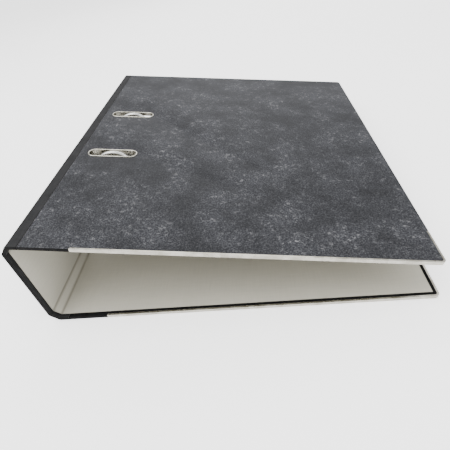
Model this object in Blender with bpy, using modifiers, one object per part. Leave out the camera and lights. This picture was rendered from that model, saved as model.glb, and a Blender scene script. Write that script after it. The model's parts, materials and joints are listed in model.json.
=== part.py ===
"""A4 lever arch file: hinged board case, edge guards, slot eyelets and lever arch mechanism.

Metres, +Z up. X runs from the spine to the fore edge, Y from the foot to the head.
The back cover lies on the ground and the front cover leans down over the closed arches.
"""
import math

import bmesh
import bpy
from mathutils import Matrix, Vector

# Case
HEIGHT = 0.318
COVER_DEPTH = 0.277
BAND = 0.009
SPINE = 0.0665
THICKNESS = 0.0026
SKIN = 0.00025
LAYER_GAP = 0.0002
GAP = 0.0003
HINGE_GAP = 0.00015
LAP = 0.0075
TURN_IN = 0.0035
CORNER = 0.003
BACK_BAND_BEND = math.radians(45.0)
SPINE_BEND = math.radians(45.0)
FRONT_BAND_BEND = math.radians(40.0)
FRONT_COVER_BEND = math.radians(59.1)

# Edge guards
GUARD_METAL = 0.0003
GUARD_FLANGE = 0.0013
GUARD_START_BACK = 0.0388
GUARD_START_FRONT = 0.0406
GUARD_RISE = 0.0295

# Slots, finger hole and label
ARCH_PITCH = 0.080
SLOT_CENTRE = 0.0365
SLOT_LENGTH = 0.0408
SLOT_WIDTH = 0.0100
FLANGE = 0.0013
TRIM = 0.0004
FINGER_RADIUS = 0.0135
FINGER_RIM = 0.0040
WASHER_STEP = 0.001
FINGER_FROM_FOOT = 0.067
LABEL_WIDTH = 0.054
LABEL_LOW = 0.112
LABEL_HIGH = 0.302
LABEL_PAPER = 0.0002

# Lever arch mechanism
PLATE_LOW_X = 0.006
PLATE_HIGH_X = 0.066
PLATE_HALF_LENGTH = 0.080
PLATE_METAL = 0.0009
PLATE_CORNER = 0.004
SEAT = 0.0005
NUDGE = 0.0001
AXIS_X = 0.01675
AXIS_Z = 0.009
WIRE = 0.0021
POST_X = 0.05025
POST_RADIUS = 0.0027
POST_BASE = 0.0048
POST_MOUTH = 0.0022
POST_DISH = 0.0016
POST_SKIRT = 0.0013
ARCH_TOP = 0.0570
ARCH_BEND = 0.004
CRANK_ARM = 0.012
CRANK_BEND = 0.003
CRANK_FOOT = 0.014
CRANK_HEEL = 0.008
EYE_CENTRE = 0.033
EYE_LENGTH = 0.005
EYE_WALL = 0.0015
EYE_PLAY = 0.0004
LEVER_X = 0.02875
LEVER_WIDTH = 0.016
LEVER_TOP = 0.0049
LEVER_FOOT = -0.0029
LEVER_METAL = 0.0010
LEVER_ROUND = 0.006
LEVER_SLOPE = 0.034
LEVER_PIVOT_Y = 0.020
LEVER_PIVOT_Z = 0.0149
LEVER_LENGTH = 0.068
LEVER_TAIL = 0.006
GRIP_LENGTH = 0.022
GRIP_LOW = -0.0015
EAR_HALF = 0.0045
EAR_ROUND = 0.0044
ROLLER_RADIUS = 0.0036
ROLLER_HALF = 0.0045
PIN = 0.0015
HEAD = 0.0008
CHAMFER = 0.0003
RIVET_X = (0.013, 0.0605)
RIVET_Y = 0.072
RIVET_SHANK = 0.0020
RIVET_HEAD = 0.0042
RIVET_SINK = 0.0012
RIVET_PLAY = 0.0004
SPRING_HINGE_X = 0.0425
SPRING_METAL = 0.0005
SPRING_LIFT = 0.0007
SPRING_HEEL = 0.0007
SPRING_REACH = 0.0030
SPRING_WIDTH = 0.0050
SPRING_TAPER = 0.2
BRIDGE_HALF = 0.0065
BRIDGE_DEPTH = 0.0015
BRIDGE_LOW = 0.0019

# How far a cutter runs past what it cuts
PAST = 0.01

HALF = HEIGHT / 2
BOARD_LOW = SKIN + LAYER_GAP
BOARD_HIGH = THICKNESS - SKIN - LAYER_GAP
LINING_LOW = THICKNESS - SKIN
PLATE_LOW = THICKNESS + GAP
PLATE_TOP = PLATE_LOW + PLATE_METAL
RING_RISE = TRIM + LAYER_GAP
CREASE_X = -(COVER_DEPTH - BAND * math.sin(BACK_BAND_BEND) - RING_RISE) / 2

for old in list(bpy.data.objects):
    bpy.data.objects.remove(old, do_unlink=True)

parts = bpy.data.collections.new("lever_arch_file")
cutters = bpy.data.collections.new("cutters")
bpy.context.scene.collection.children.link(parts)
bpy.context.scene.collection.children.link(cutters)


def finish(name, color, roughness, metallic=0.0):
    """A plain Principled material."""
    material = bpy.data.materials.new(name)
    material.use_nodes = True
    shader = material.node_tree.nodes["Principled BSDF"]
    shader.inputs["Base Color"].default_value = (*color, 1.0)
    shader.inputs["Roughness"].default_value = roughness
    shader.inputs["Metallic"].default_value = metallic
    return material


MARBLED = ("marbled_paper", (0.10, 0.10, 0.11), 0.75)
CLOTH = ("black_cloth", (0.015, 0.015, 0.017), 0.8)
BOARD = ("grey_board", (0.30, 0.29, 0.27), 0.9)
LINING = ("lining_paper", (0.48, 0.47, 0.43), 0.85)
GUARD = ("guard_steel", (0.80, 0.79, 0.76), 0.3, 1.0)
STEEL = ("nickel_steel", (0.72, 0.72, 0.72), 0.25, 1.0)
GRIP = ("black_plastic", (0.02, 0.02, 0.02), 0.45)
LABEL = ("label_paper", (0.82, 0.80, 0.74), 0.8)


def empty(name, place, turn=(0.0, 0.0, 0.0), parent=None):
    """An axis that pieces hang on."""
    marker = bpy.data.objects.new(name, None)
    marker.empty_display_size = 0.02
    marker.location = place
    marker.rotation_euler = turn
    marker.parent = parent
    parts.objects.link(marker)
    return marker


def add(name, mesh, parent, look=None, smooth=False):
    """Put a mesh in the model, or among the cutters when it has no look."""
    piece = bpy.data.objects.new(name, mesh)
    piece.parent = parent
    if look:
        mesh.materials.clear()
        mesh.materials.append(finish(name + "_" + look[0], *look[1:]))
        parts.objects.link(piece)
    else:
        piece.hide_render = True
        piece.display_type = "WIRE"
        cutters.objects.link(piece)
    if smooth:
        mesh.shade_smooth()
        mesh.set_sharp_from_angle(angle=math.radians(40))
    return piece


def box(name, low, high, parent, look=None):
    """A box from its lowest corner to its highest."""
    shape = bmesh.new()
    bmesh.ops.create_cube(shape, size=1.0)
    size = [b - a for a, b in zip(low, high)]
    middle = [(a + b) / 2 for a, b in zip(low, high)]
    bmesh.ops.scale(shape, vec=size, verts=shape.verts)
    bmesh.ops.translate(shape, vec=middle, verts=shape.verts)
    mesh = bpy.data.meshes.new(name)
    shape.to_mesh(mesh)
    shape.free()
    return add(name, mesh, parent, look)


def rod(name, radius, start, end, parent, look=None, sides=24):
    """A cylinder between two points."""
    start = Vector(start)
    run = Vector(end) - start
    shape = bmesh.new()
    bmesh.ops.create_cone(shape, cap_ends=True, segments=sides, radius1=radius, radius2=radius,
                          depth=run.length)
    turn = run.to_track_quat("Z", "Y").to_matrix().to_4x4()
    bmesh.ops.transform(shape, matrix=Matrix.Translation(start + run / 2) @ turn, verts=shape.verts)
    mesh = bpy.data.meshes.new(name)
    shape.to_mesh(mesh)
    shape.free()
    return add(name, mesh, parent, look, smooth=True)


def meshed(curve_object):
    """The closed mesh of a curve object, which it removes."""
    bpy.context.view_layer.update()
    graph = bpy.context.evaluated_depsgraph_get()
    mesh = bpy.data.meshes.new_from_object(curve_object.evaluated_get(graph))
    shape = bmesh.new()
    shape.from_mesh(mesh)
    bmesh.ops.remove_doubles(shape, verts=shape.verts, dist=0.000001)
    bmesh.ops.recalc_face_normals(shape, faces=shape.faces)
    shape.to_mesh(mesh)
    shape.free()
    bpy.data.objects.remove(curve_object, do_unlink=True)
    return mesh


def flat(name, outlines, low, high, parent, look=None):
    """A flat piece between two heights, with any further outline as a hole in it."""
    curve = bpy.data.curves.new(name, "CURVE")
    curve.dimensions = "2D"
    curve.fill_mode = "BOTH"
    curve.extrude = (high - low) / 2
    for outline in outlines:
        spline = curve.splines.new("POLY")
        spline.points.add(len(outline) - 1)
        spline.use_cyclic_u = True
        for point, (x, y) in zip(spline.points, outline):
            point.co = (x, y, 0.0, 1.0)
    holder = bpy.data.objects.new(name + "_outline", curve)
    parts.objects.link(holder)
    mesh = meshed(holder)
    mesh.transform(Matrix.Translation((0.0, 0.0, (low + high) / 2)))
    return add(name, mesh, parent, look, smooth=True)


def arc(centre, radius, start, end, steps):
    """Points along an arc, its angles in degrees."""
    angles = [math.radians(start + (end - start) * i / steps) for i in range(steps + 1)]
    return [(centre[0] + radius * math.cos(a), centre[1] + radius * math.sin(a)) for a in angles]


def cover_outline(start, inset, radius):
    """A cover's outline from the crease to the fore edge, with round fore corners."""
    edge = COVER_DEPTH - inset
    side = HALF - inset
    lower = arc((edge - radius, -side + radius), radius, -90, 0, 5)
    upper = arc((edge - radius, side - radius), radius, 0, 90, 5)
    return [(start, -side)] + lower + upper + [(start, side)]


def oval(centre, length, width):
    """A slot's outline: two half circles and two straight sides."""
    radius = width / 2
    reach = length / 2 - radius
    right = arc((centre[0] + reach, centre[1]), radius, -90, 90, 10)
    left = arc((centre[0] - reach, centre[1]), radius, 90, 270, 10)
    return right + left


def mitre(piece, bend, place=0.0, side=1):
    """Slope a layer's end at a crease, so that it meets its neighbour on the bisector."""
    for vertex in piece.data.vertices:
        if abs(vertex.co.x - place) < 0.00001:
            vertex.co.x += side * (HINGE_GAP + vertex.co.z * math.tan(bend / 2))
    return piece


def boolean(piece, other, operation):
    """Cut a piece by another, or join the other to it."""
    modifier = piece.modifiers.new(operation.lower() + "_" + other.name, "BOOLEAN")
    modifier.operation = operation
    modifier.solver = "EXACT"
    modifier.object = other
    return piece


def cut(piece, *others):
    for other in others:
        boolean(piece, other, "DIFFERENCE")
    return piece


def join(piece, *others):
    for other in others:
        boolean(piece, other, "UNION")
    return piece


def turned(name, profile, parent, look=None, steps=32, place=(0.0, 0.0, 0.0)):
    """A solid turned about Z from the (radius, height) points down its outer side."""
    mesh = bpy.data.meshes.new(name)
    points = [(r, 0.0, z) for r, z in profile]
    edges = [(i, i + 1) for i in range(len(points) - 1)]
    mesh.from_pydata(points, edges, [])
    piece = add(name, mesh, parent, look)
    piece.location = place
    screw = piece.modifiers.new("turn", "SCREW")
    screw.axis = "Z"
    screw.steps = steps
    screw.render_steps = steps
    screw.use_merge_vertices = True
    screw.merge_threshold = 0.00001
    screw.use_smooth_shade = True
    return piece


# The creased case: each empty stands on a crease, its X along the outer face towards the next
# crease and its Z into the file.
case = empty("case", (CREASE_X, 0.0, 0.0))
back_crease = empty("back_crease", (0.0, 0.0, 0.0), (0.0, -BACK_BAND_BEND, math.pi), case)
spine_crease = empty("spine_crease", (BAND, 0.0, 0.0), (0.0, -SPINE_BEND, 0.0), back_crease)
front_band_crease = empty(
    "front_band_crease", (SPINE, 0.0, 0.0), (0.0, -FRONT_BAND_BEND, 0.0), spine_crease)
front_crease = empty("front_crease", (BAND, 0.0, 0.0), (0.0, -FRONT_COVER_BEND, 0.0), front_band_crease)


def open_channel(name, start, end, look, parent, bends):
    """A skin folded over the foot and head edges of a strip of board."""
    skin = box(name, (start, -HALF, 0.0), (end, HALF, THICKNESS), parent, look)
    if bends[0]:
        mitre(skin, bends[0], start)
    if bends[1]:
        mitre(skin, bends[1], end, -1)
    room = HALF - SKIN
    pocket = box(name + "_pocket", (start - PAST, -room, SKIN), (end + PAST, room, LINING_LOW), parent)
    room = HALF - TURN_IN
    window = box(name + "_window", (start - PAST, -room, LINING_LOW - NUDGE),
                 (end + PAST, room, THICKNESS + PAST), parent)
    return cut(skin, pocket, window)


def strip(name, length, bends, parent):
    """One panel of the spine: board, cloth outside and lining inside."""
    side = HALF - SKIN - LAYER_GAP
    board = box(name + "_board", (0.0, -side, BOARD_LOW), (length, side, BOARD_HIGH), parent, BOARD)
    cloth = open_channel(name + "_cloth", 0.0, length, CLOTH, parent, bends)
    side = HALF - TURN_IN - GAP
    lining = box(name + "_lining", (0.0, -side, LINING_LOW), (length, side, THICKNESS), parent, LINING)
    for layer in (board, lining):
        mitre(layer, bends[0])
        mitre(layer, bends[1], length, -1)
    return board, cloth, lining


strip("back_band", BAND, (BACK_BAND_BEND, SPINE_BEND), back_crease)
spine_layers = strip("spine", SPINE, (SPINE_BEND, FRONT_BAND_BEND), spine_crease)
strip("front_band", BAND, (FRONT_BAND_BEND, FRONT_COVER_BEND), front_band_crease)


def guard_shape(name, parent, foot, start, slack, look=None):
    """A channel along the foot edge and round the fore corner; slack makes it a cutter."""
    outer = flat(name, [cover_outline(-PAST, -slack, CORNER)], -slack, THICKNESS + slack, parent, look)
    wall = GUARD_METAL + slack
    pocket = flat(name + "_pocket", [cover_outline(-2 * PAST, wall, CORNER - wall)],
                  wall, THICKNESS - wall, parent)
    flange = GUARD_FLANGE + slack
    window = flat(name + "_window", [cover_outline(-2 * PAST, flange, CORNER - flange)],
                  -PAST, THICKNESS + PAST, parent)
    spine_side = box(name + "_spine_side", (-3 * PAST, -HEIGHT, -PAST),
                     (start - slack, HEIGHT, 2 * PAST), parent)
    reach = HALF - GUARD_RISE - slack
    low, high = (-reach, HEIGHT) if foot < 0 else (-HEIGHT, reach)
    head_side = box(name + "_head_side", (-4 * PAST, low, -1.2 * PAST),
                    (COVER_DEPTH + PAST, high, 2.2 * PAST), parent)
    return cut(outer, window, spine_side, head_side, pocket)


def cover(side, parent, foot, bend, guard_start):
    """One cover: board, wrapped paper, cloth lap, lining and edge guard."""
    edge = SKIN + LAYER_GAP
    board = flat(side + "_board", [cover_outline(0.0, edge, CORNER - edge)],
                 BOARD_LOW, BOARD_HIGH, parent, BOARD)
    mitre(board, bend)
    paper = flat(side + "_cover_paper", [cover_outline(LAP + GAP, 0.0, CORNER)],
                 0.0, THICKNESS, parent, MARBLED)
    pocket = flat(side + "_paper_pocket", [cover_outline(LAP - PAST, SKIN, CORNER - SKIN)],
                  SKIN, LINING_LOW, parent)
    room = HALF - TURN_IN
    window = box(side + "_paper_window", (LAP - PAST, -room, LINING_LOW - NUDGE),
                 (COVER_DEPTH - TURN_IN, room, THICKNESS + PAST), parent)
    cut(paper, pocket, window)
    open_channel(side + "_cloth_lap", 0.0, LAP, CLOTH, parent, (bend, None))
    room = HALF - TURN_IN - GAP
    lining = box(side + "_lining", (0.0, -room, LINING_LOW),
                 (COVER_DEPTH - TURN_IN - GAP, room, THICKNESS), parent, LINING)
    mitre(lining, bend)
    guard_shape(side + "_edge_guard", parent, foot, guard_start, 0.0, GUARD)
    bed = guard_shape(side + "_guard_bed", parent, foot, guard_start, LAYER_GAP)
    cut(board, bed)
    cut(paper, bed)
    return board, paper, lining


back_board, back_paper, back_lining = cover("back", case, -1, BACK_BAND_BEND, GUARD_START_BACK)
front_layers = cover("front", front_crease, 1, FRONT_COVER_BEND, GUARD_START_FRONT)

# Slot eyelets: a collar through the front cover with a flange on each face.
for label, y in (("lower", ARCH_PITCH / 2), ("upper", -ARCH_PITCH / 2)):
    centre = (SLOT_CENTRE, y)
    hole = oval(centre, SLOT_LENGTH, SLOT_WIDTH)
    wall = oval(centre, SLOT_LENGTH + 2 * TRIM, SLOT_WIDTH + 2 * TRIM)
    rim = oval(centre, SLOT_LENGTH + 2 * FLANGE, SLOT_WIDTH + 2 * FLANGE)
    name = "slot_eyelet_" + label
    far = THICKNESS + LAYER_GAP
    eyelet = flat(name, [rim, hole], -RING_RISE, -LAYER_GAP, front_crease, GUARD)
    tube = flat(name + "_collar", [wall, hole], -RING_RISE + NUDGE, far + TRIM - NUDGE, front_crease)
    clinch = flat(name + "_clinch", [rim, hole], far, far + TRIM, front_crease)
    join(eyelet, tube, clinch)
    clear = 2 * (TRIM + GAP)
    slot = flat(name + "_slot", [oval(centre, SLOT_LENGTH + clear, SLOT_WIDTH + clear)],
                -PAST, 2 * PAST, front_crease)
    for layer in front_layers:
        cut(layer, slot)

# Finger hole in the spine, with its pressed ring and the washer it is clinched over.
finger_place = (SPINE / 2, HALF - FINGER_FROM_FOOT, 0.0)
ring_top = THICKNESS + LAYER_GAP + TRIM
ring_rim = FINGER_RADIUS + FINGER_RIM
washer = ring_rim - WASHER_STEP
ring_wall = FINGER_RADIUS + TRIM
turned("finger_ring",
       [(FINGER_RADIUS, -RING_RISE), (FINGER_RADIUS, ring_top), (washer, ring_top),
        (washer, ring_top - TRIM), (ring_wall, ring_top - TRIM), (ring_wall, -LAYER_GAP),
        (ring_rim, -LAYER_GAP), (ring_rim, -RING_RISE), (FINGER_RADIUS, -RING_RISE)],
       spine_crease, GUARD, 40, finger_place)
finger_cut = rod("finger_cut", ring_wall + GAP, (finger_place[0], finger_place[1], -PAST),
                 (finger_place[0], finger_place[1], PAST), spine_crease, sides=40)
for layer in spine_layers:
    cut(layer, finger_cut)

box("spine_label", ((SPINE - LABEL_WIDTH) / 2, HALF - LABEL_HIGH, -LAYER_GAP - LABEL_PAPER),
    ((SPINE + LABEL_WIDTH) / 2, HALF - LABEL_LOW, -LAYER_GAP), spine_crease, LABEL)

# Base plate: bearing eyes for the arch wire, ears for the lever, a bridge for the spring.
plate_outline = []
right = PLATE_HIGH_X - PLATE_CORNER
left = PLATE_LOW_X + PLATE_CORNER
end = PLATE_HALF_LENGTH - PLATE_CORNER
for corner_x, corner_y, first in ((right, -end, -90), (right, end, 0), (left, end, 90), (left, -end, 180)):
    plate_outline += arc((corner_x, corner_y), PLATE_CORNER, first, first + 90, 5)
plate = flat("base_plate", [plate_outline], PLATE_LOW, PLATE_TOP, case, STEEL)
seat = PLATE_TOP - SEAT
eye_radius = WIRE + EYE_WALL
for label, y in (("lower", -EYE_CENTRE), ("upper", EYE_CENTRE)):
    near = y - EYE_LENGTH / 2
    far = y + EYE_LENGTH / 2
    join(plate,
         rod("eye_" + label, eye_radius, (AXIS_X, near, AXIS_Z), (AXIS_X, far, AXIS_Z), case),
         box("eye_foot_" + label, (AXIS_X - eye_radius + EYE_PLAY, near + NUDGE, seat),
             (AXIS_X + eye_radius - EYE_PLAY, far - NUDGE, AXIS_Z), case))
ear_inner = LEVER_WIDTH / 2 + SEAT
for label, side in (("spine", -1), ("fore", 1)):
    near, far = sorted((LEVER_X + side * ear_inner, LEVER_X + side * (ear_inner + PLATE_METAL)))
    join(plate,
         box("ear_" + label, (near, LEVER_PIVOT_Y - EAR_HALF, seat),
             (far, LEVER_PIVOT_Y + EAR_HALF, LEVER_PIVOT_Z), case),
         rod("ear_top_" + label, EAR_ROUND, (near + NUDGE / 2, LEVER_PIVOT_Y, LEVER_PIVOT_Z),
             (far - NUDGE / 2, LEVER_PIVOT_Y, LEVER_PIVOT_Z), case))
bridge_low = PLATE_TOP + BRIDGE_LOW
bridge_edge = BRIDGE_HALF + PLATE_METAL
inner_depth = BRIDGE_DEPTH - NUDGE
join(plate,
     box("bridge_top", (SPRING_HINGE_X - BRIDGE_DEPTH, -bridge_edge - NUDGE, bridge_low),
         (SPRING_HINGE_X + BRIDGE_DEPTH, bridge_edge + NUDGE, bridge_low + PLATE_METAL), case),
     box("bridge_foot_lower", (SPRING_HINGE_X - inner_depth, -bridge_edge, seat),
         (SPRING_HINGE_X + inner_depth, -BRIDGE_HALF, bridge_low + NUDGE), case),
     box("bridge_foot_upper", (SPRING_HINGE_X - inner_depth, BRIDGE_HALF, seat),
         (SPRING_HINGE_X + inner_depth, bridge_edge, bridge_low + NUDGE), case))
cut(plate,
    rod("axis_bore", WIRE + EYE_PLAY, (AXIS_X, -2 * EYE_CENTRE, AXIS_Z),
        (AXIS_X, 2 * EYE_CENTRE, AXIS_Z), case),
    rod("ear_bore", PIN + GAP, (LEVER_X - LEVER_WIDTH, LEVER_PIVOT_Y, LEVER_PIVOT_Z),
        (LEVER_X + LEVER_WIDTH, LEVER_PIVOT_Y, LEVER_PIVOT_Z), case))

# Fixed posts: their mouths are countersunk for the noses of the arches.
post_foot = PLATE_TOP + GAP
for label, y in (("lower", -ARCH_PITCH / 2), ("upper", ARCH_PITCH / 2)):
    turned("post_" + label,
           [(0.0, ARCH_TOP - POST_DISH), (POST_MOUTH, ARCH_TOP), (POST_RADIUS, ARCH_TOP - CHAMFER),
            (POST_RADIUS, post_foot + POST_SKIRT), (POST_BASE, post_foot + POST_SKIRT / 2),
            (POST_BASE, post_foot), (0.0, post_foot)],
           case, STEEL, 24, (POST_X, y, 0.0))

# Rivets: heads sunk flush in the back of the cover, clinched over the base plate.
rivet_profile = [(0.0, PLATE_TOP + 0.0009), (0.0022, PLATE_TOP + 0.0008), (0.0034, PLATE_TOP + GAP),
                 (RIVET_SHANK, PLATE_TOP + GAP), (RIVET_SHANK, 0.0009), (RIVET_HEAD, 0.0009),
                 (RIVET_HEAD, 0.0004), (0.0036, 0.0001), (0.0, 0.0001)]
for x, across in zip(RIVET_X, ("spine", "fore")):
    for y, along in ((-RIVET_Y, "lower"), (RIVET_Y, "upper")):
        tag = "_" + along + "_" + across
        turned("mechanism_rivet" + tag, rivet_profile, case, STEEL, 20, (x, y, 0.0))
        hole = rod("rivet_hole" + tag, RIVET_SHANK + RIVET_PLAY, (x, y, -PAST), (x, y, 2 * PAST),
                   case, sides=20)
        sink = rod("rivet_sink" + tag, RIVET_HEAD + RIVET_PLAY, (x, y, -PAST), (x, y, RIVET_SINK),
                   case, sides=20)
        cut(back_board, hole, sink)
        cut(back_paper, sink)
        cut(back_lining, hole)
        cut(plate, hole)

# Arch wire: two arches, their legs, the journals and the crank bent from one wire.
arch_axis = empty("arch_axis", (AXIS_X, 0.0, AXIS_Z), parent=case)
arch_span = POST_X - AXIS_X
arch_rise = ARCH_TOP - AXIS_Z
half_pitch = ARCH_PITCH / 2
crank_reach = CRANK_ARM - CRANK_BEND
points = [(arch_span, half_pitch, arch_rise - 0.0009, 0.18),
          (arch_span, half_pitch, arch_rise + 0.0006, 1.0)]
points += [(x, half_pitch, z, 1.0)
           for x, z in arc((arch_span / 2, arch_rise + 0.0008), arch_span / 2, 0, 180, 16)]
points += [(0.0, y, z, 1.0) for y, z in arc((half_pitch - ARCH_BEND, ARCH_BEND), ARCH_BEND, 0, -90, 5)]
points += [(x, y, 0.0, 1.0) for y, x in arc((CRANK_FOOT, CRANK_BEND), CRANK_BEND, -90, -180, 4)]
points += [(x, y, 0.0, 1.0) for y, x in arc((CRANK_HEEL, crank_reach), CRANK_BEND, 0, 90, 4)]
points += [(x, -y, z, size) for x, y, z, size in reversed(points)]
wire = bpy.data.curves.new("arch_wire", "CURVE")
wire.dimensions = "3D"
wire.bevel_depth = WIRE
wire.bevel_resolution = 2
wire.use_fill_caps = True
spline = wire.splines.new("POLY")
spline.points.add(len(points) - 1)
for point, (x, y, z, size) in zip(spline.points, points):
    point.co = (x, y, z, 1.0)
    point.radius = size
wire_holder = bpy.data.objects.new("arch_wire_path", wire)
parts.objects.link(wire_holder)
add("arch_wire", meshed(wire_holder), arch_axis, STEEL, smooth=True)

# Lever: a channel with round ends that covers the crank; its grip, pin, roller and roller pin.
lever_axis = empty("lever_axis", (LEVER_X, LEVER_PIVOT_Y, LEVER_PIVOT_Z), parent=case)
half_width = LEVER_WIDTH / 2
corner_x = half_width - LEVER_ROUND
corner_y = LEVER_ROUND - LEVER_LENGTH


def lever_outline(top, inset):
    """The lever's outline from a straight end at the top to the round end of its handle."""
    across = half_width - inset
    round_end = arc((corner_x, corner_y), LEVER_ROUND - inset, 0, -90, 6)
    round_end += arc((-corner_x, corner_y), LEVER_ROUND - inset, -90, -180, 6)
    return ([(-across, top), (across, top)] + round_end)[::-1]


lever = flat("lever", [lever_outline(LEVER_TAIL, 0.0)], LEVER_FOOT, LEVER_TOP, lever_axis, STEEL)
channel = flat("lever_channel", [lever_outline(LEVER_TAIL + PAST, LEVER_METAL)],
               LEVER_FOOT - PAST, LEVER_TOP - LEVER_METAL, lever_axis)
slope = box("lever_slope", (-LEVER_WIDTH, -2 * LEVER_LENGTH, -LEVER_WIDTH),
            (LEVER_WIDTH, LEVER_SLOPE - LEVER_LENGTH, 0.0), lever_axis)
roller_y = -LEVER_PIVOT_Y
cut(lever, channel, slope,
    rod("pivot_bore", PIN + GAP, (-LEVER_WIDTH, 0.0, 0.0), (LEVER_WIDTH, 0.0, 0.0), lever_axis),
    rod("roller_bore", PIN + GAP, (-LEVER_WIDTH, roller_y, 0.0), (LEVER_WIDTH, roller_y, 0.0), lever_axis))
flat("lever_grip", [lever_outline(GRIP_LENGTH - LEVER_LENGTH, LEVER_METAL + GAP)],
     GRIP_LOW, LEVER_TOP - LEVER_METAL - GAP, lever_axis, GRIP)


def headed_pin(name, reach, place, head):
    """A pin along X with a head at each end."""
    upper = [(0.0, reach), (head - CHAMFER, reach), (head, reach - CHAMFER), (head, reach - HEAD),
             (PIN, reach - HEAD)]
    lower = [(radius, -height) for radius, height in reversed(upper)]
    pin = turned(name, upper + lower, lever_axis, STEEL, 20, place)
    pin.rotation_euler = (0.0, math.pi / 2, 0.0)


headed_pin("lever_pivot_pin", ear_inner + PLATE_METAL + GAP + HEAD, (0.0, 0.0, 0.0), 0.0024)
headed_pin("roller_pin", half_width + GAP + HEAD, (0.0, roller_y, 0.0), 0.0022)
bore = PIN + GAP
roller = turned("roller",
                [(bore, ROLLER_HALF), (ROLLER_RADIUS - CHAMFER, ROLLER_HALF),
                 (ROLLER_RADIUS, ROLLER_HALF - CHAMFER), (ROLLER_RADIUS, CHAMFER - ROLLER_HALF),
                 (ROLLER_RADIUS - CHAMFER, -ROLLER_HALF), (bore, -ROLLER_HALF), (bore, ROLLER_HALF)],
                lever_axis, STEEL, 24, (0.0, roller_y, 0.0))
roller.rotation_euler = (0.0, math.pi / 2, 0.0)

# Leaf spring: a blade hooked under the bridge that lifts the crank.
spring_z = PLATE_TOP + SPRING_LIFT
spring_axis = empty("spring_axis", (SPRING_HINGE_X, 0.0, spring_z), parent=case)
tip_x = LEVER_X - SPRING_HINGE_X - SPRING_REACH
tip_z = AXIS_Z - WIRE - GAP - SPRING_METAL - spring_z - NUDGE
blade_mesh = bpy.data.meshes.new("leaf_spring")
blade = bmesh.new()
bmesh.ops.create_grid(blade, x_segments=6, y_segments=1, size=1.0)
for vertex in blade.verts:
    along = (vertex.co.x + 1) / 2
    rise_share = min(1.0, along / 0.75)
    blade_width = SPRING_WIDTH * (1.0 - SPRING_TAPER * along)
    vertex.co = (SPRING_HEEL + (tip_x - SPRING_HEEL) * along, vertex.co.y * blade_width,
                 tip_z * (rise_share ** 1.3) - 0.0006 * max(0.0, along - 0.8))
blade.to_mesh(blade_mesh)
blade.free()
spring = add("leaf_spring", blade_mesh, spring_axis, STEEL)
thicken = spring.modifiers.new("metal", "SOLIDIFY")
thicken.thickness = SPRING_METAL
thicken.offset = 0.0
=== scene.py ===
"""A4 lever arch file in marbled board, closed and empty, its front cover resting on the arches."""
import json
import math

import bpy
from mathutils import Matrix, Vector


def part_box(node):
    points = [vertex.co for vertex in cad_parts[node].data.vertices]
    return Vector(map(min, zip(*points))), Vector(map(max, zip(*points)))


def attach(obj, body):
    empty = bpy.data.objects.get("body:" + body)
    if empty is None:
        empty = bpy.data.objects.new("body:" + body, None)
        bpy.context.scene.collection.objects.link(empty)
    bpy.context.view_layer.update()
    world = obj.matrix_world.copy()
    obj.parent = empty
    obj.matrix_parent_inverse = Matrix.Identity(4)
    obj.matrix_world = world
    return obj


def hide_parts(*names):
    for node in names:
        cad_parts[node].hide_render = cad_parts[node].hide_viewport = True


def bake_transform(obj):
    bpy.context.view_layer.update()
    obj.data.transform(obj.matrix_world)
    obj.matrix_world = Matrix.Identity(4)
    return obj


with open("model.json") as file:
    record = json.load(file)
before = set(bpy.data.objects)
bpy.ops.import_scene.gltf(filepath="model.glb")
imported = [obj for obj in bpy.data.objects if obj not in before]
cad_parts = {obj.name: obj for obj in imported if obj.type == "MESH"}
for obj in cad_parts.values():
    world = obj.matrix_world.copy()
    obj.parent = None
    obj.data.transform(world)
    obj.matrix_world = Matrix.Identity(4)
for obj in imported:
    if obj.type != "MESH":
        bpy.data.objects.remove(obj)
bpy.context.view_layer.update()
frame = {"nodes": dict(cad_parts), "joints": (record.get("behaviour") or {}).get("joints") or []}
nodes = frame["nodes"]
joints = {joint["name"]: joint for joint in frame["joints"]}

# ---------------------------------------------------------------------------------------------
# The grey board inside the case. One sheet of grey pulp board, scored into two covers, a spine and
# two narrow bands. It is buried in its coverings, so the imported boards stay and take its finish.


def deselect():
    """Nothing selected and nothing active, before a new piece is added."""
    if bpy.context.object and bpy.context.object.mode != "OBJECT":
        bpy.ops.object.mode_set(mode="OBJECT")
    bpy.ops.object.select_all(action="DESELECT")


def select_only(piece):
    """One piece selected and active, and nothing else."""
    deselect()
    piece.select_set(True)
    bpy.context.view_layer.objects.active = piece


def finish(name, roughness, metallic=0.0):
    """An empty finish: its material, its shader and a maker of further nodes."""
    material = bpy.data.materials.new(name)
    material.use_nodes = True
    tree = material.node_tree
    shader = tree.nodes["Principled BSDF"]
    shader.inputs["Roughness"].default_value = roughness
    shader.inputs["Metallic"].default_value = metallic

    def node(kind, settings=None, **inputs):
        made = tree.nodes.new(kind)
        for key, value in (settings or {}).items():
            setattr(made, key, value)
        for key, value in inputs.items():
            socket = made.inputs[key.replace("_", " ")]
            if isinstance(value, bpy.types.NodeSocket):
                tree.links.new(value, socket)
            else:
                socket.default_value = value
        return made

    return material, shader, node, tree.links


def ramp(node, factor, *stops):
    """A colour ramp with (place, colour) stops."""
    made = node("ShaderNodeValToRGB", Fac=factor)
    elements = made.color_ramp.elements
    while len(elements) < len(stops):
        elements.new(0.5)
    for element, (place, color) in zip(elements, stops):
        element.position = place
        element.color = (*color, 1.0)
    return made.outputs["Color"]


def relief(shader, node, height, strength, distance):
    """Raises a finish by a height that changes over its surface."""
    bump = node("ShaderNodeBump", Strength=strength, Distance=distance, Height=height)
    bump.id_data.links.new(bump.outputs["Normal"], shader.inputs["Normal"])


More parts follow.
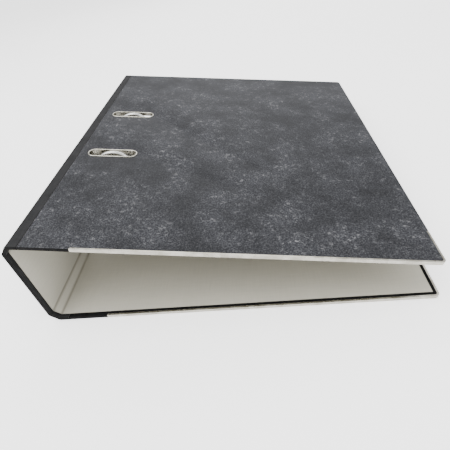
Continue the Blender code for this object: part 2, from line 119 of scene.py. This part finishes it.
def shared_group(name, inputs, outputs):
    """A shader node group with named sockets, and the maker of its nodes."""
    tree = bpy.data.node_groups.new(name, "ShaderNodeTree")
    for label, kind, value in inputs:
        socket = tree.interface.new_socket(label, in_out="INPUT", socket_type="NodeSocket" + kind)
        if value is not None:
            socket.default_value = value
    for label, kind in outputs:
        tree.interface.new_socket(label, in_out="OUTPUT", socket_type="NodeSocket" + kind)
    start = tree.nodes.new("NodeGroupInput")
    end = tree.nodes.new("NodeGroupOutput")

    def node(kind, settings=None, **sockets):
        made = tree.nodes.new(kind)
        for key, value in (settings or {}).items():
            setattr(made, key, value)
        for key, value in sockets.items():
            number = {"A": 0, "B": 1}.get(key)
            socket = made.inputs[number if number is not None else key.replace("_", " ")]
            if isinstance(value, bpy.types.NodeSocket):
                tree.links.new(value, socket)
            else:
                socket.default_value = value
        return made

    return tree, start.outputs, end.inputs, node


# Cut fibres and threads: long thin noise in two directions, for board, paper, cloth and brushed steel.
thread_tree, given, wanted, thread_node = shared_group(
    "crossed_threads",
    [("Vector", "Vector", None), ("Thread", "Float", 900.0), ("Length", "Float", 0.12)],
    [("Height", "Float")])
short = thread_node("ShaderNodeMath", {"operation": "MULTIPLY"}, A=given["Thread"], B=given["Length"])
threads = []
for order in ((0, 1, 2), (1, 0, 2)):
    scale = thread_node("ShaderNodeCombineXYZ")
    for index, source in zip(order, (given["Thread"], short.outputs[0], given["Thread"])):
        thread_tree.links.new(source, scale.inputs[index])
    stretched = thread_node("ShaderNodeVectorMath", {"operation": "MULTIPLY"},
                            A=given["Vector"], B=scale.outputs[0])
    noise = thread_node("ShaderNodeTexNoise", Vector=stretched.outputs[0],
                        Scale=1.0, Detail=2.0, Roughness=0.5)
    threads.append(noise.outputs["Fac"])
both = thread_node("ShaderNodeMath", {"operation": "ADD"}, A=threads[0], B=threads[1])
half = thread_node("ShaderNodeMath", {"operation": "MULTIPLY"}, A=both.outputs[0], B=0.5)
thread_tree.links.new(half.outputs[0], wanted["Height"])


def threads_on(node, vector, thread, length):
    """The crossed thread height on a finish."""
    group = node("ShaderNodeGroup", {"node_tree": thread_tree})
    group.id_data.links.new(vector, group.inputs["Vector"])
    group.inputs["Thread"].default_value = thread
    group.inputs["Length"].default_value = length
    return group.outputs["Height"]


board, shader, node, links = finish("grey_pulp_board", 0.92)
place = node("ShaderNodeTexCoord").outputs["Object"]
fibre = threads_on(node, place, 700.0, 0.2)
links.new(ramp(node, fibre, (0.3, (0.17, 0.16, 0.14)), (0.7, (0.33, 0.31, 0.28))),
          shader.inputs["Base Color"])
relief(shader, node, fibre, 0.5, 0.0002)


def paint(piece, material):
    """Give a piece one finish."""
    piece.data.materials.clear()
    piece.data.materials.append(material)
    return piece


for name in ("back_board", "back_band_board", "spine_board", "front_band_board", "front_board"):
    paint(nodes[name], board)

# ---------------------------------------------------------------------------------------------
# The marbled cover papers. Matt paper printed with a cloud pattern in black and greys, glued over
# the outside of each cover and turned in over its foot, head and fore edges.
MERGED = 0.000002
PAPER_EASE = 0.00012
FACING_OUT = 0.95


def eased(node_name, piece_name, body, material, width, segments=2, move=None):
    """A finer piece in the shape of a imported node, its edges rounded over by a width."""
    mesh = nodes[node_name].data.copy()
    piece = bpy.data.objects.new(piece_name, mesh)
    bpy.context.scene.collection.objects.link(piece)
    select_only(piece)
    bpy.ops.object.mode_set(mode="EDIT")
    bpy.ops.mesh.select_all(action="SELECT")
    bpy.ops.mesh.remove_doubles(threshold=MERGED)
    bpy.ops.mesh.dissolve_limited(angle_limit=math.radians(1.0))
    bpy.ops.mesh.customdata_custom_splitnormals_clear()
    bpy.ops.object.mode_set(mode="OBJECT")
    if move:
        for vertex in piece.data.vertices:
            vertex.co = move(vertex.co)
    if width:
        bevel = piece.modifiers.new("eased_edges", "BEVEL")
        bevel.width = width
        bevel.segments = segments
        bevel.limit_method = "ANGLE"
        bevel.angle_limit = math.radians(35)
        bpy.ops.object.modifier_apply(modifier=bevel.name)
    bpy.ops.object.shade_smooth_by_angle(angle=math.radians(40))
    paint(piece, material)
    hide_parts(node_name)
    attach(piece, body)
    return piece


def tinted(node, color, tint):
    """A colour multiplied by a tint."""
    made = node("ShaderNodeMix", {"data_type": "RGBA", "blend_type": "MULTIPLY"})
    made.inputs[0].default_value = 1.0
    made.id_data.links.new(color, made.inputs[6])
    made.id_data.links.new(tint, made.inputs[7])
    return made.outputs[2]


paper, shader, node, links = finish("cloud_marbled_paper", 0.62)
shader.inputs["Specular IOR Level"].default_value = 0.15
place = node("ShaderNodeTexCoord").outputs["Object"]
warp = node("ShaderNodeTexNoise", Vector=place, Scale=60.0, Detail=3.0)
shifted = node("ShaderNodeVectorMath", {"operation": "MULTIPLY_ADD"})
links.new(warp.outputs["Color"], shifted.inputs[0])
shifted.inputs[1].default_value = (0.006, 0.006, 0.006)
links.new(place, shifted.inputs[2])
flow = shifted.outputs[0]
clouds = node("ShaderNodeTexNoise", Vector=flow, Scale=34.0, Detail=6.0, Roughness=0.62)
mottle = node("ShaderNodeTexNoise", Vector=place, Scale=1000.0, Detail=5.0, Roughness=0.78)
flecks = node("ShaderNodeTexNoise", Vector=place, Scale=230.0, Detail=7.0, Roughness=0.84)
grain = ramp(node, mottle.outputs["Fac"], (0.38, (0.0060, 0.0063, 0.0080)),
             (0.50, (0.018, 0.0185, 0.0215)), (0.62, (0.056, 0.057, 0.062)))
tone = ramp(node, clouds.outputs["Fac"], (0.36, (0.70, 0.70, 0.70)), (0.64, (1.35, 1.35, 1.35)))
spots = node("ShaderNodeMath", {"operation": "MULTIPLY"})
links.new(ramp(node, flecks.outputs["Fac"], (0.55, (0, 0, 0)), (0.68, (1, 1, 1))), spots.inputs[0])
links.new(ramp(node, clouds.outputs["Fac"], (0.42, (0.06,) * 3), (0.64, (1, 1, 1))), spots.inputs[1])
flecked = node("ShaderNodeMix", {"data_type": "RGBA"})
links.new(spots.outputs[0], flecked.inputs[0])
links.new(tinted(node, grain, tone), flecked.inputs[6])
flecked.inputs[7].default_value = (0.23, 0.23, 0.237, 1.0)
links.new(flecked.outputs[2], shader.inputs["Base Color"])
pores = node("ShaderNodeTexNoise", Vector=place, Scale=1400.0, Detail=3.0)
links.new(ramp(node, mottle.outputs["Fac"], (0.3, (0.55,) * 3), (0.7, (0.72,) * 3)),
          shader.inputs["Roughness"])
relief(shader, node, pores.outputs["Fac"], 0.3, 0.00012)

# Near-black finish for the marbled paper's turn-ins and cut edges and the cloth's head and foot sides.
# They are the same paper and cloth; the darkness is painted shade.
edge_shade, shader, node, links = finish("painted_shade_edge", 0.7)
shader.inputs["Specular IOR Level"].default_value = 0.05
place = node("ShaderNodeTexCoord").outputs["Object"]
shade_mottle = node("ShaderNodeTexNoise", Vector=place, Scale=220.0, Detail=4.0)
links.new(ramp(node, shade_mottle.outputs["Fac"], (0.35, (0.003,) * 3), (0.7, (0.009,) * 3)),
          shader.inputs["Base Color"])
relief(shader, node, shade_mottle.outputs["Fac"], 0.3, 0.0001)

FOLDS = ("back_fold", "spine_fold", "front_fold", "cover_fold")
INWARD_BENDS = {name: math.radians(joints[name]["range_deg"][1]) for name in FOLDS}
lean = sum(INWARD_BENDS.values())
outsides = {"back": Vector((0.0, 0.0, -1.0)),
            "front": Vector((-math.sin(lean), 0.0, -math.cos(lean)))}
for side, outside in outsides.items():
    piece = eased(side + "_cover_paper", side + "_marbled_paper", side + "_cover", paper,
                  PAPER_EASE)
    # Faces that do not face outwards (turn-ins and cut edges) take the near-black finish: painted shade.
    piece.data.materials.append(edge_shade)
    for face in piece.data.polygons:
        face.material_index = 0 if face.normal.dot(outside) > FACING_OUT else 1

# ---------------------------------------------------------------------------------------------
# The black book cloth over the spine. One width of cloth runs round the spine and both bands and
# laps 7.5 mm on to each cover. It is made in lengths that meet where the case stays flat.
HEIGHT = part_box("spine_cloth")[1][1] * 2
THICK = 0.0026
CLOTH = 0.00025
TURN_IN = 0.0035
LAP = 0.0075
BAND = 0.009
SPINE_REACH = 0.010
CREASE_ROUND = 0.0029
CREASE_STEPS = 8
LINING_GAP = 0.0003
SIDE_FACING = 0.4
RING_FLANGE = 0.0030
PUNCH_LENGTH = 0.03

cloth, shader, node, links = finish("black_book_cloth", 0.78)
shader.inputs["Specular IOR Level"].default_value = 0.2
place = node("ShaderNodeTexCoord").outputs["Object"]
weave = threads_on(node, place, 1500.0, 0.06)
wear = node("ShaderNodeTexNoise", Vector=place, Scale=90.0, Detail=4.0)
mix = node("ShaderNodeMath", {"operation": "MULTIPLY"})
links.new(weave, mix.inputs[0])
links.new(wear.outputs["Fac"], mix.inputs[1])
links.new(ramp(node, mix.outputs[0], (0.12, (0.005, 0.005, 0.0055)), (0.42, (0.019, 0.019, 0.020))),
          shader.inputs["Base Color"])
relief(shader, node, weave, 0.5, 0.00015)


def walk_creases():
    """Each crease's point, and the direction of the outer face before and after it."""
    heading = math.pi
    stations = {}
    for name in FOLDS:
        before = Vector((math.cos(heading), 0.0, math.sin(heading)))
        heading -= INWARD_BENDS[name]
        after = Vector((math.cos(heading), 0.0, math.sin(heading)))
        stations[name] = (Vector(joints[name]["pos_m"]), before, after)
    return stations


creases = walk_creases()


def inward(along):
    """The direction into the file from an outer face that runs along."""
    return Vector((along.z, 0.0, -along.x))


def channel_section():
    """The cloth's section: flat outside, folded over the foot and head edges of the board."""
    side = HEIGHT / 2
    wall = side - CLOTH
    end = side - TURN_IN
    under = THICK - CLOTH
    return [(-end, THICK), (-side, THICK), (-side, 0.0), (side, 0.0), (side, THICK), (end, THICK),
            (end, under), (wall, under), (wall, CLOTH), (-wall, CLOTH), (-wall, under), (-end, under)]


def lining_section():
    """The lining's section: a flat strip that stops short of the turned-in cloth."""
    side = HEIGHT / 2 - TURN_IN - LINING_GAP
    return [(-side, THICK - CLOTH), (side, THICK - CLOTH), (side, THICK), (-side, THICK)]


def paint_shade_on_sides(piece):
    """The cut and turned-in sides of the cloth take the near-black finish, darker than its face, as
    painted shade.
    """
    piece.data.materials.append(edge_shade)
    for face in piece.data.polygons:
        if abs(face.normal.y) > SIDE_FACING:
            face.material_index = 1


def creased(name, section, crease, before_length, after_length, material):
    """A strip drawn along one face, turned round a crease and drawn along the next face."""
    point, before, after = creases[crease]
    bend = INWARD_BENDS[crease]
    tangent = CREASE_ROUND * math.tan(bend / 2)
    deselect()
    bpy.ops.mesh.primitive_circle_add(vertices=len(section), fill_type="NGON")
    strip = bpy.context.object
    strip.name = name
    start = point - before * before_length
    for vertex, (y, depth) in zip(strip.data.vertices, section):
        vertex.co = start + Vector((0.0, y, 0.0)) + inward(before) * depth
    bpy.ops.object.mode_set(mode="EDIT")
    bpy.ops.mesh.select_all(action="SELECT")
    run = before * (before_length - tangent)
    bpy.ops.mesh.extrude_region_move(TRANSFORM_OT_translate={"value": run})
    centre = point - before * tangent + inward(before) * CREASE_ROUND
    bpy.ops.mesh.spin(steps=CREASE_STEPS, angle=-bend, center=centre, axis=(0.0, 1.0, 0.0))
    run = after * (after_length - tangent)
    bpy.ops.mesh.extrude_region_move(TRANSFORM_OT_translate={"value": run})
    bpy.ops.mesh.select_all(action="SELECT")
    bpy.ops.mesh.remove_doubles(threshold=MERGED)
    bpy.ops.mesh.normals_make_consistent(inside=False)
    bpy.ops.object.mode_set(mode="OBJECT")
    bpy.ops.object.shade_smooth_by_angle(angle=math.radians(30))
    paint(strip, material)
    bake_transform(strip)
    return strip


back_joint = creased("back_joint_cloth", channel_section(), "back_fold", LAP, BAND / 2,
                     cloth)
back_shoulder = creased("back_shoulder_cloth", channel_section(), "spine_fold", BAND / 2, SPINE_REACH,
                        cloth)
front_shoulder = creased("front_shoulder_cloth", channel_section(), "front_fold", SPINE_REACH, BAND / 2,
                         cloth)
front_joint = creased("front_joint_cloth", channel_section(), "cover_fold", BAND / 2, LAP,
                      cloth)
for piece in (back_joint, back_shoulder, front_shoulder, front_joint):
    paint_shade_on_sides(piece)
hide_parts("back_cloth_lap", "back_band_cloth")
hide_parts("front_cloth_lap", "front_band_cloth")


def spine_panel(name, section, material):
    """The flat length between the two shoulders, with the finger hole cut through it."""
    low = creases["spine_fold"][0] + Vector((0.0, 0.0, SPINE_REACH))
    high = creases["front_fold"][0] - Vector((0.0, 0.0, SPINE_REACH))
    deselect()
    bpy.ops.mesh.primitive_circle_add(vertices=len(section), fill_type="NGON")
    panel = bpy.context.object
    panel.name = name
    for vertex, (y, depth) in zip(panel.data.vertices, section):
        vertex.co = low + Vector((depth, y, 0.0))
    bpy.ops.object.mode_set(mode="EDIT")
    bpy.ops.mesh.select_all(action="SELECT")
    bpy.ops.mesh.extrude_region_move(TRANSFORM_OT_translate={"value": high - low})
    bpy.ops.mesh.select_all(action="SELECT")
    bpy.ops.mesh.normals_make_consistent(inside=False)
    bpy.ops.object.mode_set(mode="OBJECT")
    ring_low, ring_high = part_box("finger_ring")
    middle = [(a + b) / 2 for a, b in zip(ring_low, ring_high)]
    radius = (ring_high[1] - ring_low[1]) / 2 - RING_FLANGE
    deselect()
    bpy.ops.mesh.primitive_cylinder_add(vertices=64, radius=radius, depth=PUNCH_LENGTH, location=middle,
                                        rotation=(0.0, math.pi / 2, 0.0))
    punch = bpy.context.object
    select_only(panel)
    hole = panel.modifiers.new("finger_hole", "BOOLEAN")
    hole.operation = "DIFFERENCE"
    hole.object = punch
    bpy.ops.object.modifier_apply(modifier=hole.name)
    bpy.data.objects.remove(punch, do_unlink=True)
    paint(panel, material)
    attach(panel, "spine")
    return panel


spine_cloth = spine_panel("spine_panel_cloth", channel_section(), cloth)
paint_shade_on_sides(spine_cloth)
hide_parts("spine_cloth")

# ---------------------------------------------------------------------------------------------
# The grey lining. Uncoated paper with a fine linen grain is pasted over the turned-in edges on the
# inside, and pressed into the creases; along each crease its colour is darkened a little as painted
# shade.
# How far from each inner crease the painted shade on the lining reaches.
CREASE_SHADE_REACH = 0.0018
LINING_START = 0.0045

lining, shader, node, links = finish("linen_grained_lining", 0.86)
place = node("ShaderNodeTexCoord").outputs["Object"]
linen = threads_on(node, place, 1100.0, 0.05)
blotch = node("ShaderNodeTexNoise", Vector=place, Scale=22.0, Detail=3.0)
base = ramp(node, linen, (0.32, (0.400, 0.383, 0.322)), (0.68, (0.438, 0.420, 0.358)))
shade = ramp(node, blotch.outputs["Fac"], (0.3, (0.95,) * 3), (0.7, (1.0,) * 3))
flatten = node("ShaderNodeVectorMath", {"operation": "MULTIPLY"})
links.new(place, flatten.inputs[0])
flatten.inputs[1].default_value = (1.0, 0.0, 1.0)
nearness = None
for crease_point, before, after in creases.values():
    gap = node("ShaderNodeVectorMath", {"operation": "DISTANCE"})
    links.new(flatten.outputs[0], gap.inputs[0])
    gap.inputs[1].default_value = crease_point + (inward(before) + inward(after)).normalized() * THICK
    if nearness is None:
        nearness = gap.outputs["Value"]
    else:
        nearer = node("ShaderNodeMath", {"operation": "MINIMUM"})
        links.new(nearness, nearer.inputs[0])
        links.new(gap.outputs["Value"], nearer.inputs[1])
        nearness = nearer.outputs[0]
# Painted shade: the lining's colour is darkened within a couple of millimetres of each crease.
spread = node("ShaderNodeMapRange")
links.new(nearness, spread.inputs["Value"])
spread.inputs["From Max"].default_value = CREASE_SHADE_REACH
painted_crease_shade = ramp(node, spread.outputs["Result"], (0.15, (0.55, 0.54, 0.53)), (1.0, (1.0, 1.0, 1.0)))
links.new(tinted(node, tinted(node, base, shade), painted_crease_shade), shader.inputs["Base Color"])
relief(shader, node, linen, 0.15, 0.0001)

strips = (("back_joint_lining", "back_fold", LINING_START, BAND / 2, ("back_cover", "back_band")),
          ("back_shoulder_lining", "spine_fold", BAND / 2, SPINE_REACH, ("back_band", "spine")),
          ("front_shoulder_lining", "front_fold", SPINE_REACH, BAND / 2, ("spine", "front_band")),
          ("front_joint_lining", "cover_fold", BAND / 2, LINING_START, ("front_band", "front_cover")))
for name, crease, first, second, bodies in strips:
    creased(name, lining_section(), crease, first, second, lining)
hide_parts("back_band_lining")
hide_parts("front_band_lining")
spine_lining = spine_panel("spine_panel_lining", lining_section(), lining)
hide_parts("spine_lining")


def start_at(crease, along, distance):
    """A mover that pushes a lining's crease end out to where the creased strip stops."""
    point = creases[crease][0]

    def move(co):
        run = (co - point).dot(along)
        return co + along * (distance - run) if run < distance else co

    return move


back_out = -creases["back_fold"][1]
front_out = creases["cover_fold"][2]
back_lining = eased("back_lining", "back_cover_lining", "back_cover", lining, 0.0,
                    move=start_at("back_fold", back_out, LINING_START))
front_lining = eased("front_lining", "front_cover_lining", "front_cover", lining, 0.0,
                     move=start_at("cover_fold", front_out, LINING_START))

# ---------------------------------------------------------------------------------------------
# The edge guards. Thin nickel-plated channel is pressed over the foot edge of each cover and round
# its fore corner, where the file wears on the shelf.
CORNER_RADIUS = 0.0010
SHEET_EDGE = 0.0005
END_SLACK = 0.0001
WEB_CLEAR = 0.0010

guard, shader, node, links = finish("bright_nickel_guard", 0.3, 1.0)
place = node("ShaderNodeTexCoord").outputs["Object"]
scuff = node("ShaderNodeTexNoise", Vector=place, Scale=140.0, Detail=5.0, Roughness=0.65)
links.new(ramp(node, scuff.outputs["Fac"], (0.35, (0.31, 0.295, 0.25)), (0.65, (0.48, 0.465, 0.415))),
          shader.inputs["Base Color"])
links.new(ramp(node, scuff.outputs["Fac"], (0.35, (0.20,) * 3), (0.70, (0.36,) * 3)),
          shader.inputs["Roughness"])
buckle = node("ShaderNodeTexNoise", Vector=place, Scale=75.0, Detail=1.0)
relief(shader, node, buckle.outputs["Fac"], 0.7, 0.0015)


def round_free_ends(rail, along):
    """Rounds the free corners of both flanges where a guard begins and ends."""
    select_only(rail)
    bpy.ops.object.mode_set(mode="EDIT")
    bpy.ops.mesh.select_all(action="DESELECT")
    bpy.ops.object.mode_set(mode="OBJECT")
    mesh = rail.data
    runs = [vertex.co.dot(along) for vertex in mesh.vertices]
    heights = [vertex.co.y for vertex in mesh.vertices]
    begins = [run < min(runs) + END_SLACK and height > min(heights) + WEB_CLEAR
              for run, height in zip(runs, heights)]
    ends = [height > max(heights) - END_SLACK and run < max(runs) - WEB_CLEAR
            for run, height in zip(runs, heights)]
    for edge in mesh.edges:
        a, b = edge.vertices
        short = (mesh.vertices[a].co - mesh.vertices[b].co).length < SHEET_EDGE
        edge.select = short and ((begins[a] and begins[b]) or (ends[a] and ends[b]))
    bpy.ops.object.mode_set(mode="EDIT")
    bpy.ops.mesh.bevel(offset=CORNER_RADIUS, offset_type="OFFSET", segments=5, affect="EDGES")
    bpy.ops.object.mode_set(mode="OBJECT")


for side, along in (("back", -creases["back_fold"][1]), ("front", creases["cover_fold"][2])):
    rail = eased(side + "_edge_guard", side + "_guard_rail", side + "_cover", guard, 0.0)
    round_free_ends(rail, along)

# ---------------------------------------------------------------------------------------------
# The slot eyelets. Each is one oval of bright metal, drawn through the slot from the outside and
# clinched over inside, so that the slot slides over its arch without tearing.
FLANGE = 0.0013
EYELET_LENGTH = 0.0434
SLOT_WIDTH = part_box("slot_eyelet_lower")[1][1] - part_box("slot_eyelet_lower")[0][1] - 2 * FLANGE
RIM_HEIGHT = 0.00050
CLINCH_HEIGHT = 0.00045
STANDING_OFF = 0.00010
SLEEVE_WALL = 0.0004
SLEEVE_GAP = 0.0002
SLEEVE_PROUD = 0.0003
MIDDLE = 0.00001


def pull_to_oval(piece, stretch):
    """Moves the two halves of a round piece apart, to make an oval."""
    for vertex in piece.data.vertices:
        vertex.co.x += math.copysign(stretch, vertex.co.x) if abs(vertex.co.x) > MIDDLE else 0.0


def oval_ring(name, tube, height, level, stretch):
    """A rounded ring pulled out into an oval."""
    deselect()
    bpy.ops.mesh.primitive_torus_add(major_segments=48, minor_segments=16,
                                     major_radius=SLOT_WIDTH / 2 + tube, minor_radius=tube)
    ring = bpy.context.object
    ring.name = name
    for vertex in ring.data.vertices:
        vertex.co.z = level + vertex.co.z * height / tube
    pull_to_oval(ring, stretch)
    return ring


def oval_sleeve(name, low, high, stretch):
    """The short wall of an eyelet, from face to face."""
    deselect()
    bpy.ops.mesh.primitive_cylinder_add(vertices=48, radius=SLOT_WIDTH / 2 + SLEEVE_GAP,
                                        depth=high - low, end_fill_type="NOTHING")
    sleeve = bpy.context.object
    sleeve.name = name
    for vertex in sleeve.data.vertices:
        vertex.co.z += (low + high) / 2
    pull_to_oval(sleeve, stretch)
    wall = sleeve.modifiers.new("wall", "SOLIDIFY")
    wall.thickness = SLEEVE_WALL
    wall.offset = 0.0
    bpy.ops.object.modifier_apply(modifier=wall.name)
    return sleeve


cover_point = creases["cover_fold"][0]
cover_along = creases["cover_fold"][2]
cover_in = inward(cover_along)
stretch = (EYELET_LENGTH - SLOT_WIDTH) / 2 - FLANGE
for place in ("lower", "upper"):
    low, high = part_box("slot_eyelet_" + place)
    middle = (Vector(low) + Vector(high)) / 2
    run = (middle - cover_point).dot(cover_along)
    pieces = [oval_ring("slot_eyelet_%s_rim" % place, FLANGE / 2, RIM_HEIGHT, -STANDING_OFF, stretch),
              oval_ring("slot_eyelet_%s_clinch" % place, FLANGE / 2, CLINCH_HEIGHT,
                        THICK + STANDING_OFF, stretch),
              oval_sleeve("slot_eyelet_%s_sleeve" % place, -SLEEVE_PROUD, THICK + SLEEVE_PROUD, stretch)]
    deselect()
    for piece in pieces:
        piece.select_set(True)
    bpy.context.view_layer.objects.active = pieces[0]
    bpy.ops.object.join()
    eyelet = bpy.context.object
    eyelet.name = "slot_eyelet_%s_metal" % place
    centre = cover_point + cover_along * run
    centre.y = middle.y
    turn = Matrix((cover_along, Vector((0.0, -1.0, 0.0)), cover_in)).transposed().to_4x4()
    eyelet.matrix_world = Matrix.Translation(centre) @ turn
    bpy.ops.object.transform_apply(location=True, rotation=True, scale=True)
    bpy.ops.object.shade_smooth_by_angle(angle=math.radians(50))
    paint(eyelet, guard)
    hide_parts("slot_eyelet_" + place)
    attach(eyelet, "front_cover")

# ---------------------------------------------------------------------------------------------
# The finger ring and the label on the spine. The ring is turned and clinched bright metal; the
# label is a blank sheet of off-white paper with a ruled frame, pasted to the cloth.
RING_EASE = 0.00015
RULE_INSET = 0.0035
RULE_HALF_WIDTH = 0.00035

ring = eased("finger_ring", "finger_hole_ring", "spine", guard, RING_EASE, segments=3)

label, shader, node, links = finish("ruled_label_paper", 0.8)
place = node("ShaderNodeTexCoord").outputs["Object"]
low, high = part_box("spine_label")
axes = node("ShaderNodeSeparateXYZ", Vector=place)


def from_edge(output, middle, half_size):
    """How far inside the label's edges a point lies along one axis, in metres."""
    offset = node("ShaderNodeMath", {"operation": "SUBTRACT"})
    links.new(axes.outputs[output], offset.inputs[0])
    offset.inputs[1].default_value = middle
    size = node("ShaderNodeMath", {"operation": "ABSOLUTE"})
    links.new(offset.outputs[0], size.inputs[0])
    inside = node("ShaderNodeMath", {"operation": "SUBTRACT"})
    inside.inputs[0].default_value = half_size
    links.new(size.outputs[0], inside.inputs[1])
    return inside.outputs[0]


nearest = node("ShaderNodeMath", {"operation": "MINIMUM"})
links.new(from_edge("Y", (low[1] + high[1]) / 2, (high[1] - low[1]) / 2), nearest.inputs[0])
links.new(from_edge("Z", (low[2] + high[2]) / 2, (high[2] - low[2]) / 2), nearest.inputs[1])
rule = node("ShaderNodeMath", {"operation": "COMPARE"})
links.new(nearest.outputs[0], rule.inputs[0])
rule.inputs[1].default_value = RULE_INSET
rule.inputs[2].default_value = RULE_HALF_WIDTH
fibre = threads_on(node, place, 900.0, 0.3)
sheet = ramp(node, fibre, (0.3, (0.70, 0.68, 0.62)), (0.7, (0.80, 0.785, 0.73)))
framed = node("ShaderNodeMix", {"data_type": "RGBA"})
links.new(rule.outputs[0], framed.inputs[0])
links.new(sheet, framed.inputs[6])
framed.inputs[7].default_value = (0.03, 0.03, 0.035, 1.0)
links.new(framed.outputs[2], shader.inputs["Base Color"])
relief(shader, node, fibre, 0.2, 0.0001)
paint(nodes["spine_label"], label)

# ---------------------------------------------------------------------------------------------
# The lever arch mechanism. A pressed steel plate carries two posts, the bent arch wire, the lever
# with its roller, and a leaf spring. All of it is nickel-plated steel, held by four rivets.
RIVET_EASE = 0.00012
WIRE_DRAWN_IN = 0.00018

steel, shader, node, links = finish("nickel_plated_steel", 0.25, 1.0)
place = node("ShaderNodeTexCoord").outputs["Object"]
haze = node("ShaderNodeTexNoise", Vector=place, Scale=70.0, Detail=4.0)
brushed = threads_on(node, place, 2500.0, 0.02)
links.new(ramp(node, haze.outputs["Fac"], (0.35, (0.50, 0.495, 0.48)), (0.7, (0.64, 0.635, 0.62))),
          shader.inputs["Base Color"])
links.new(ramp(node, haze.outputs["Fac"], (0.3, (0.18,) * 3), (0.75, (0.38,) * 3)),
          shader.inputs["Roughness"])
relief(shader, node, brushed, 0.08, 0.00005)

for name, body, ease in (("base_plate", "back_cover", 0.00018), ("post_lower", "back_cover", 0.00015),
                         ("post_upper", "back_cover", 0.00015), ("lever", "lever", 0.00030),
                         ("lever_pivot_pin", "lever", 0.00010), ("roller_pin", "lever", 0.00010),
                         ("roller", "roller", 0.00010), ("leaf_spring", "spring", 0.00008)):
    eased(name, name + "_metal", body, steel, ease)
for row in ("lower", "upper"):
    for column in ("spine", "fore"):
        name = "mechanism_rivet_%s_%s" % (row, column)
        eased(name, name + "_metal", "back_cover", steel, RIVET_EASE)

wire = eased("arch_wire", "arch_wire_bend", "arch", steel, 0.0)
select_only(wire)
bpy.ops.object.mode_set(mode="EDIT")
bpy.ops.mesh.select_all(action="SELECT")
bpy.ops.transform.shrink_fatten(value=-WIRE_DRAWN_IN)
bpy.ops.object.mode_set(mode="OBJECT")
smooth = wire.modifiers.new("round_wire", "SUBSURF")
smooth.levels = 2
smooth.render_levels = 2
bpy.ops.object.modifier_apply(modifier=smooth.name)
bpy.ops.object.shade_smooth()

# ---------------------------------------------------------------------------------------------
# The lever's grip. A moulding of black plastic with rounded edges, pressed on to the free end of the
# lever, where the thumb lifts it.
GRIP_EASE = 0.0004

plastic, shader, node, links = finish("moulded_black_plastic", 0.42)
place = node("ShaderNodeTexCoord").outputs["Object"]
peel = node("ShaderNodeTexNoise", Vector=place, Scale=900.0, Detail=2.0)
links.new(ramp(node, peel.outputs["Fac"], (0.3, (0.012,) * 3), (0.7, (0.022,) * 3)),
          shader.inputs["Base Color"])
relief(shader, node, peel.outputs["Fac"], 0.3, 0.0001)
eased("lever_grip", "lever_grip_moulding", "lever", plastic, GRIP_EASE, segments=3)

# ---------------------------------------------------------------------------------------------
# The studio. A pale floor a hair below the file, three broad soft lights in a pale room, and the
# camera above the foot of the file.
FLOOR_SIZE = 6.0
FLOOR_DROP = 0.0002
ROOM_LIGHT = 1.7
SENSOR_WIDTH = 36.0
FOCAL_LENGTH = 28.39
YAW = math.radians(-8.48)
PITCH = math.radians(40.33)
ROLL = math.radians(-10.39)
EYE_ACROSS = 0.16291
EYE_BEFORE_FOOT = 0.15471
EYE_ABOVE = 0.21487

deselect()
bpy.ops.mesh.primitive_plane_add(size=FLOOR_SIZE, location=(0.0, 0.0, -FLOOR_DROP))
floor = bpy.context.object
floor.name = "studio_floor"
ground, shader, node, links = finish("pale_floor", 0.9)
place = node("ShaderNodeTexCoord").outputs["Object"]
soft = node("ShaderNodeTexNoise", Vector=place, Scale=3.0)
links.new(ramp(node, soft.outputs["Fac"], (0.3, (0.95,) * 3), (0.7, (0.97,) * 3)),
          shader.inputs["Base Color"])
shader.inputs["Emission Color"].default_value = (1.0, 1.0, 1.0, 1.0)
shader.inputs["Emission Strength"].default_value = 1.0
paint(floor, ground)

world = bpy.data.worlds.new("studio")
bpy.context.scene.world = world
world.use_nodes = True
sky = world.node_tree
heading = sky.nodes.new("ShaderNodeTexCoord")
height = sky.nodes.new("ShaderNodeSeparateXYZ")
fade = sky.nodes.new("ShaderNodeValToRGB")
sky.links.new(heading.outputs["Generated"], height.inputs[0])
sky.links.new(height.outputs["Z"], fade.inputs["Fac"])
fade.color_ramp.elements[0].position = 0.10
fade.color_ramp.elements[0].color = (0.42, 0.43, 0.45, 1.0)
fade.color_ramp.elements[1].position = 0.60
fade.color_ramp.elements[1].color = (1.0, 1.0, 1.0, 1.0)
sky.links.new(fade.outputs["Color"], sky.nodes["Background"].inputs["Color"])
sky.nodes["Background"].inputs["Strength"].default_value = ROOM_LIGHT

for name, spot, size, power in (("key", (-0.5, -0.3, 1.1), 0.9, 14.0),
                                ("fill", (0.9, -0.7, 0.7), 1.0, 8.0),
                                ("back", (0.1, 1.1, 0.9), 1.0, 8.0)):
    lamp = bpy.data.lights.new(name, "AREA")
    lamp.size = size
    lamp.energy = power
    light = bpy.data.objects.new(name, lamp)
    light.location = spot
    light.rotation_euler = (-Vector(spot)).to_track_quat("-Z", "Y").to_euler()
    bpy.context.scene.collection.objects.link(light)

ahead = Vector((math.sin(YAW) * math.cos(PITCH), math.cos(YAW) * math.cos(PITCH), -math.sin(PITCH)))
level = Vector((math.cos(YAW), -math.sin(YAW), 0.0))
upright = level.cross(ahead)
right = level * math.cos(ROLL) + upright * math.sin(ROLL)
up = upright * math.cos(ROLL) - level * math.sin(ROLL)
lens = bpy.data.cameras.new("camera")
lens.sensor_width = SENSOR_WIDTH
lens.lens = FOCAL_LENGTH
lens.clip_start = 0.01
camera = bpy.data.objects.new("camera", lens)
eye = creases["back_fold"][0] + Vector((EYE_ACROSS, -HEIGHT / 2 - EYE_BEFORE_FOOT, EYE_ABOVE))
camera.matrix_world = Matrix.Translation(eye) @ Matrix((right, up, -ahead)).transposed().to_4x4()
bpy.context.scene.collection.objects.link(camera)
bpy.context.scene.camera = camera
